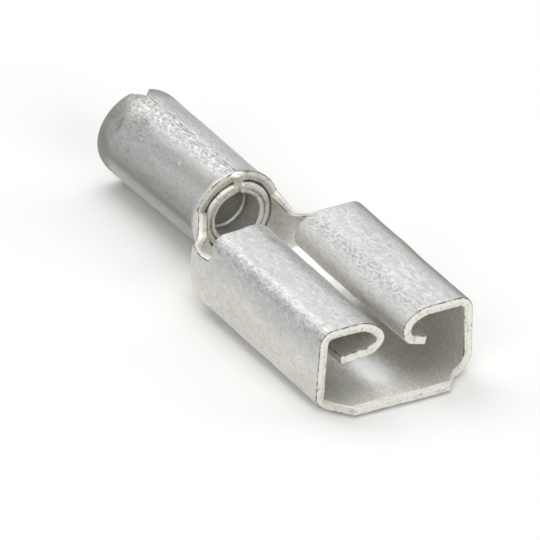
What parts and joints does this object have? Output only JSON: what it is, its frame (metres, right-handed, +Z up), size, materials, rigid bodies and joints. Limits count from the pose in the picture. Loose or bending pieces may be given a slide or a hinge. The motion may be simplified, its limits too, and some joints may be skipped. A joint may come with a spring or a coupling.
{
  "type": "female quick disconnect",
  "caption": "Bare tin-plated push-on terminal: a folded receptacle with inward curls for a flat tab, a drawn-in neck, and a brazed wire barrel lined with a rolled sleeve.",
  "frame": {"origin": "centre of the bounding box, on the surface that the terminal lies on", "axes": "+X along the terminal towards the mouth that takes the tab, +Y across it, +Z up"},
  "size_m": [0.0182, 0.006, 0.0033],
  "materials": {
    "tinned_brass": "matte tin plate over brass, pale grey with bright cut edges",
    "tinned_copper": "matte tin plate over copper alloy, slightly warmer and duller in the bore"
  },
  "bodies": {
    "root": {"terminal_body": "tinned_brass", "barrel_sleeve": "tinned_copper"}
  },
  "joints": []
}
